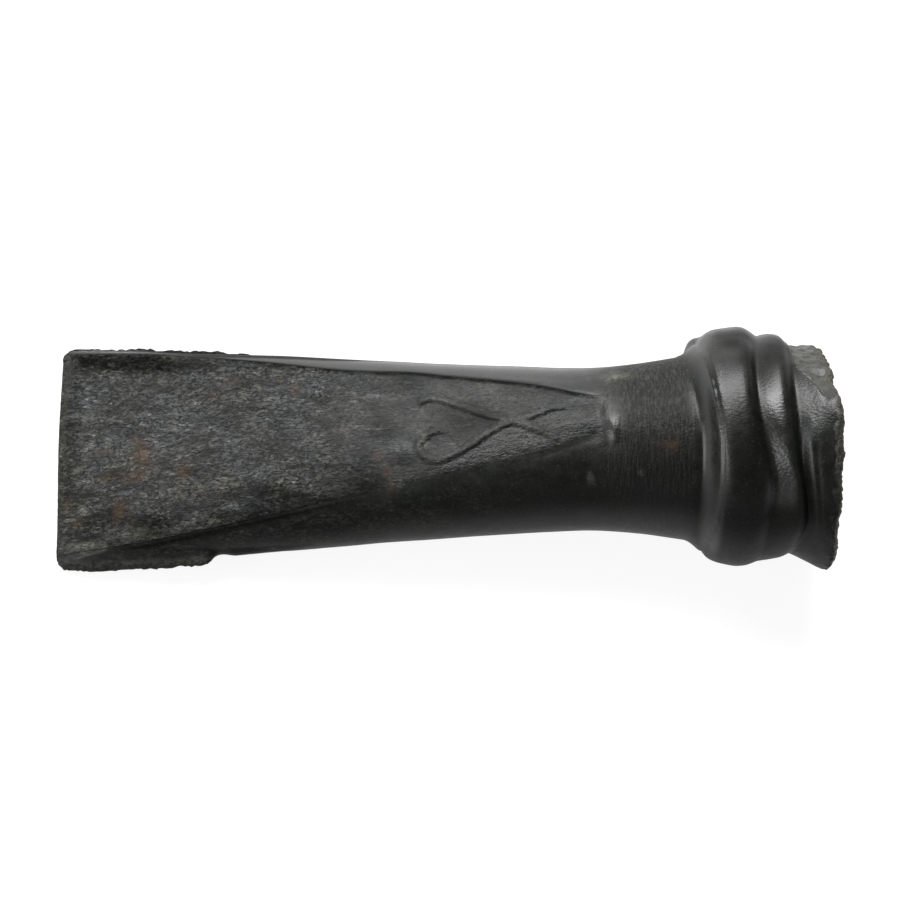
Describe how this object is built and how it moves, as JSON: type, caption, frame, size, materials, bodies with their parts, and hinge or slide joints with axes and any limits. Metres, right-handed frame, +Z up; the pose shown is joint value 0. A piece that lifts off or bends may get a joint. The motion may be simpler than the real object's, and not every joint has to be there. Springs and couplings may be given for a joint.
{
  "type": "currency axe head",
  "caption": "Socketed bronze currency axe head, as cast, with ringed collar, crossed ribs on a wedge blade and clay core left in its socket.",
  "frame": {"origin": "centre of the bounding box at ground level, with the head laid on its back face", "axes": "+X from the cutting edge towards the socket's mouth, +Z up, the ribbed front face upwards"},
  "size_m": [0.1188, 0.0374, 0.038],
  "materials": {
    "dark_bronze": "dark green-black patina, satin, pitted on the blade",
    "fired_clay": "matte, crumbly"
  },
  "bodies": {
    "root": {"axe_casting": "dark_bronze", "clay_core": "fired_clay"}
  },
  "joints": []
}
